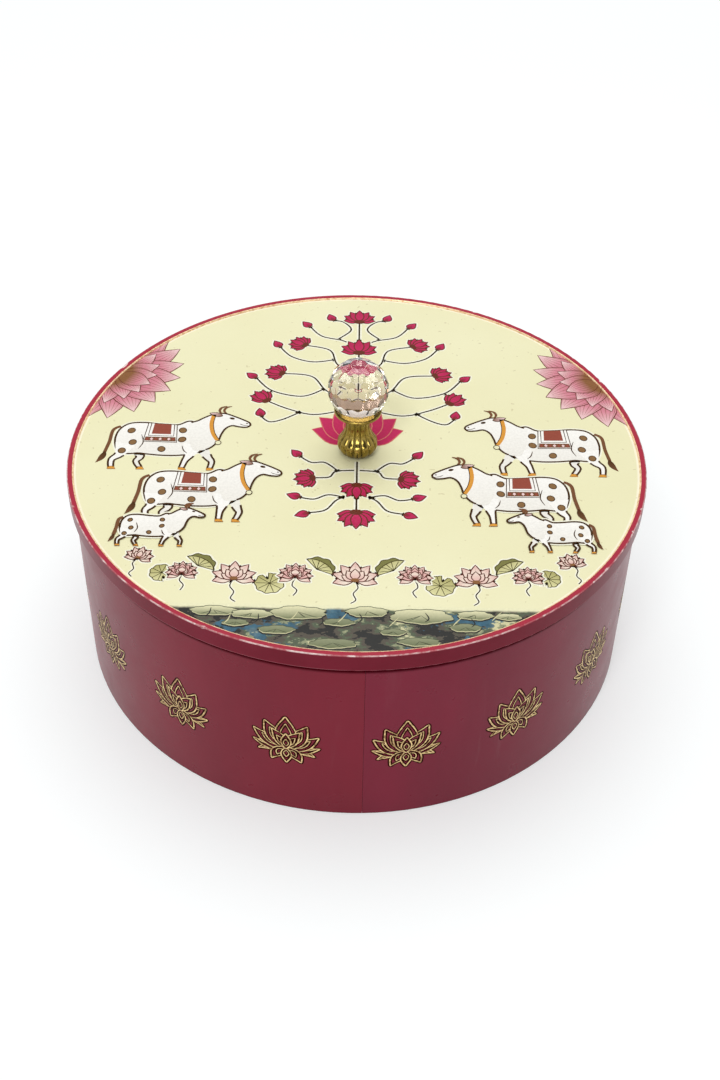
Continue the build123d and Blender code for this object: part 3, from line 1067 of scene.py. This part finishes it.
def draw_painted_leaf(pen, wide, high, phase, light):
    """Floating leaf in a painter's manner: ragged, dark at its near edge and paler to the back."""
    outline = []
    count = 36
    for i in range(count):
        angle = 2 * pi * i / count
        ragged = 1 + 0.06 * sin(5 * angle + phase) + 0.045 * sin(11 * angle + 2 * phase)
        outline.append(complex(wide * cos(angle), high * sin(angle)) * ragged)
    pen.plate([p * 1.04 - 0.8j for p in outline], POND_DARK)
    pen.plate(outline, PAD_GREEN, light, (-1j * high, 1j * high), 1)
    pen.line(outline, 0.35, PAD_LINE, 2, closed=True)
    pen.line(outline[count // 2:] + outline[:1], 0.45, PAD_EDGE, 3, ends=0.3)
    for turn in (phase, phase + 1.3, phase + 2.4):
        tip = complex(wide * cos(turn), -high)
        pen.line(smooth([0.1j * high, tip * 0.45, tip * 0.7]), 0.3, PAD_LINE, 2, ends=0.3)


POND_RADIUS = 123.9
POND_TOP = -98.5
POND_FADE = 4.0
POND_STEPS = 30


def across_pond(height):
    """Evenly spaced points from the left shore of the pond to the right one."""
    half = sqrt(POND_RADIUS ** 2 - height ** 2)
    return [complex(half * (2 * i / POND_STEPS - 1), height) for i in range(POND_STEPS + 1)]


def make_pond(ink):
    """Painted pond between the flower row and the front rim, with lily leaves on it."""
    sheet = Sheet(on_lid)
    upper = across_pond(POND_TOP)
    lower = across_pond(POND_TOP - POND_FADE)
    for i in range(POND_STEPS):
        strip = [upper[i], lower[i], lower[i + 1], upper[i + 1]]
        sheet.plate(strip, [(0, 0, 0), (1, 1, 1), (1, 1, 1), (0, 0, 0)], 1)
    arc = arc_points(0, POND_RADIUS, cmath.phase(lower[0]), cmath.phase(lower[-1]), 2 * POND_STEPS)
    sheet.plate(arc, [(1, 1, 1)] * len(arc), 1)
    sheet.build("print_pond", pond_material())
    leaves = Sheet(on_lid)
    places = (
        (-55-102.5j, 9, 2.6), (-40-104j, 8, 2.4), (-46-109j, 5, 1.8), (-22-103j, 11, 3.6),
        (-30-112.5j, 7, 2.2), (-6-108j, 6, 2.0), (-8-119.5j, 9, 2.6), (5-102j, 8, 2.8),
        (15-113j, 5, 1.8), (26-104j, 12, 4.0), (25-118j, 8, 2.2), (43-110j, 6, 2.2),
        (47-103j, 7, 2.4), (60-103.5j, 5, 1.8),
    )
    for count, (place, wide, high) in enumerate(places):
        light = CREAM_WARM if place.imag > -105 else POND_LIGHT
        pen = Pen(leaves, place, layer=2 + 4 * (count % 3))
        draw_painted_leaf(pen, wide, high, 1.7 * count, light)
    for count in range(12):
        foot = complex(-58 + 10.4 * count + 3 * sin(5 * count), -106 - 4 * abs(sin(2 * count)))
        blade = smooth([foot, foot + (1.5+2j), foot + complex(2 + 2 * sin(3 * count), 5)])
        Pen(leaves, layer=14).line(blade, 0.5, PAD_EDGE if count % 2 else POND_DARK, ends=0.3)
    leaves.build("print_pond_leaves", ink)


def make_gold_line(gold):
    """Thin gold bead that fills the corner between the print and the hoop."""
    section = ((-0.55, 0.0), (-0.5, 0.45), (-0.3, 0.7), (0.15, 0.76), (0.0, 0.0))
    around = 240
    vertices, faces = [], []
    for i in range(around):
        direction = cmath.rect(1, 2 * pi * i / around)
        for out, up in section:
            radius = print_radius + out * MM
            vertices.append((direction.real * radius, direction.imag * radius, print_top + up * MM))
    for i in range(around):
        here, ahead = i * len(section), (i + 1) % around * len(section)
        for k in range(len(section)):
            m = (k + 1) % len(section)
            faces.append([here + k, here + m, ahead + m, ahead + k])
    add_piece("print_gold_line", new_mesh("print_gold_line", vertices, faces, gold), "lid")


# Gold lotuses round the wall
FOIL_COUNT = 16
FOIL_OFFSET = -1.15
FOIL_LEVEL = 38.3
FOIL_SIZE = 0.93

# Petals of the foil lotus from front to back: lean from upright, length, width, outward bow, inner line
FOIL_PETALS = (
    (0, 9.4, 4.6, 0, 0.62),
    (180, 9.4, 4.8, 0, 0.6),
    (29, 13.0, 5.6, 0.5, 0.66),
    (141, 10.6, 5.4, 1.0, 0.62),
    (0, 20.2, 9.6, 0, 0.78),
    (31, 18.4, 8.0, -0.7, 0.76),
    (57, 17.4, 6.6, -1.2, 0.74),
    (81, 15.2, 4.4, -1.2, 0),
    (105, 13.2, 3.8, 1.2, 0),
)


def draw_foil_lotus(pen):
    """Lotus in line round its base at 0, with each petal cut off where a nearer one covers it."""
    covers = []
    for lean, length, width, bow, inner in FOIL_PETALS:
        added = []
        for sign in ((-1, 1) if lean % 180 else (1,)):
            tip = cmath.rect(length, pi / 2 + sign * radians(lean))
            base = -0.04 * tip
            outline = smooth(petal_outline(base, tip, width, 0.46, -sign * bow), True, 3)
            lines = [(outline + outline[:1], 0.58)]
            if inner:
                heart = petal_outline(tip * 0.16, tip * inner, width * 0.5, 0.46, -sign * bow * 0.7)
                lines.append((smooth(heart + heart[:1], steps=3), 0.4))
            else:
                rib = [tip * 0.1, tip * 0.5 - 1j * tip / length * sign * bow, tip * 0.9]
                lines.append((smooth(rib, steps=8), 0.5))
            for path, breadth in lines:
                for run in open_runs(path, covers):
                    pen.line(run, breadth + 1.3, FOIL_EDGE, -1, ends=0.7)
                    pen.line(run, breadth, (1, 1, 1), ends=0.7)
            added.append(outline)
        covers += added


def make_foils(foil):
    for index in range(FOIL_COUNT):
        sheet = Sheet(on_wall(FOIL_OFFSET + (index + 0.5) * 360 / FOIL_COUNT))
        draw_foil_lotus(Pen(sheet, complex(0, FOIL_LEVEL), FOIL_SIZE, layer=2))
        sheet.build(f"foil_lotus_{index:02d}", foil, "box")


# Stage, lights and camera
WORLD_LEVEL = 0.5
ROOM_LEVEL = 0.16
WINDOW_LEVEL = 7.0
CEILING_LEVEL = 0.9
FLOOR_LIFT = 0.46
FLOOR_DARK = (0.57, 0.6, 0.602)
FLOOR_LIGHT = (0.58, 0.61, 0.612)


def make_world():
    """White all round for the camera. Gloss and glass see a dim room, its window and its ceiling."""
    world = bpy.data.worlds.new("studio")
    bpy.context.scene.world = world
    world.use_nodes = True
    n = Nodes(world.node_tree)
    where = n.add("ShaderNodeTexCoord").outputs["Generated"]
    y, z = n.add("ShaderNodeSeparateXYZ", {"Vector": where}).outputs[1:]
    behind = n.span(y, -0.6, 0.2, ROOM_LEVEL, 1.0)
    upper = n.span(z, 0.3, 0.6, behind, ROOM_LEVEL)
    room = n.span(z, 0.08, 0.26, 1.0, upper)
    window = n.span(y, -0.86, -0.8, WINDOW_LEVEL, room)
    above_sill = n.span(z, 0.24, 0.27, room, window)
    room = n.span(z, 0.4, 0.43, above_sill, room)
    room = n.span(z, 0.74, 0.86, room, CEILING_LEVEL)
    seen = n.span(n.add("ShaderNodeLightPath").outputs["Is Camera Ray"], 0, 1, room, 1.0)
    background = world.node_tree.nodes["Background"].inputs
    n.feed(background["Color"], (1, 1, 1))
    n.feed(background["Strength"], n.span(n.seen(), 0, 1, WORLD_LEVEL, seen))


def make_floor():
    n = Material("pale_floor")
    far = n.fade(n.around()[0], 0.6, 3.0)
    lift = n.scale(far, 1.0 - FLOOR_LIFT, FLOOR_LIFT)
    glow = n.scale(n.seen(), lift)
    grain = n.mottle(FLOOR_DARK, FLOOR_LIGHT, 3.0, 2.0)
    n.finish(grain, 0.9, Specular_IOR_Level=0.0, Emission_Color=(1, 1, 1), Emission_Strength=glow)
    side = 6.0
    corners = [(-side, -side, 0), (side, -side, 0), (side, side, 0), (-side, side, 0)]
    floor = add_object("floor", new_mesh("floor", corners, [(0, 1, 2, 3)], n.material))


def add_softbox(name, place, target, size, power):
    lamp = bpy.data.lights.new(name, "AREA")
    lamp.shape = "DISK"
    lamp.size = size
    lamp.energy = power
    softbox = add_object(name, lamp)
    softbox.location = place
    softbox.rotation_euler = (Vector(target) - Vector(place)).to_track_quat("-Z", "Y").to_euler()


def make_lights():
    middle = (0, 0, 0.08)
    add_softbox("softbox_over", (0.0, 0.4, 1.5), middle, 1.2, 10.5)
    add_softbox("softbox_front", (-0.34, -0.94, 1.28), middle, 0.35, 4.6)
    add_softbox("softbox_low", (-0.12, -1.2, 0.36), middle, 0.24, 0.8)


# The photograph's view, found from the ellipses of the lid and the wall's foot
IMAGE_WIDTH = 720
IMAGE_HEIGHT = 1080
FOCAL_PIXELS = 1456.0
CAMERA_PITCH = 37.92
CAMERA_DISTANCE = 0.6449
LID_CENTRE_PIXEL = (355.75, 448.85)
CAMERA_ROLL = 0.98
SENSOR = 36.0


def make_camera():
    data = bpy.data.cameras.new("camera")
    data.sensor_width = SENSOR
    data.lens = FOCAL_PIXELS / IMAGE_HEIGHT * SENSOR
    camera = add_object("camera", data)
    bpy.context.scene.camera = camera
    pitch = radians(CAMERA_PITCH)
    place = Vector((0, 0, hoop_high.z)) + Vector((0, -cos(pitch), sin(pitch))) * CAMERA_DISTANCE
    across = (LID_CENTRE_PIXEL[0] - IMAGE_WIDTH / 2) / FOCAL_PIXELS
    above = (IMAGE_HEIGHT / 2 - LID_CENTRE_PIXEL[1]) / FOCAL_PIXELS
    tilt = Matrix.Rotation(pi / 2 - pitch - atan2(above, 1), 4, "X")
    aside = Matrix.Rotation(atan2(across, 1), 4, "Y")
    roll = Matrix.Rotation(radians(CAMERA_ROLL), 4, "Z")
    camera.matrix_world = Matrix.Translation(place) @ tilt @ aside @ roll


def main():
    finish_nodes()
    make_casting()
    make_crystal()
    ink = ink_material()
    foil = foil_material("gold_foil", srgb(252, 220, 156), srgb(146, 96, 48), edged=True)
    make_creeper(ink)
    make_cattle(ink)
    make_rim_lotuses(ink)
    make_flower_row(ink)
    make_pond(ink)
    make_gold_line(foil_material("gold_bead", srgb(255, 226, 184), srgb(222, 172, 122)))
    make_foils(foil)
    make_world()
    make_floor()
    make_lights()
    make_camera()
    bpy.context.scene.view_settings.view_transform = "Standard"


main()
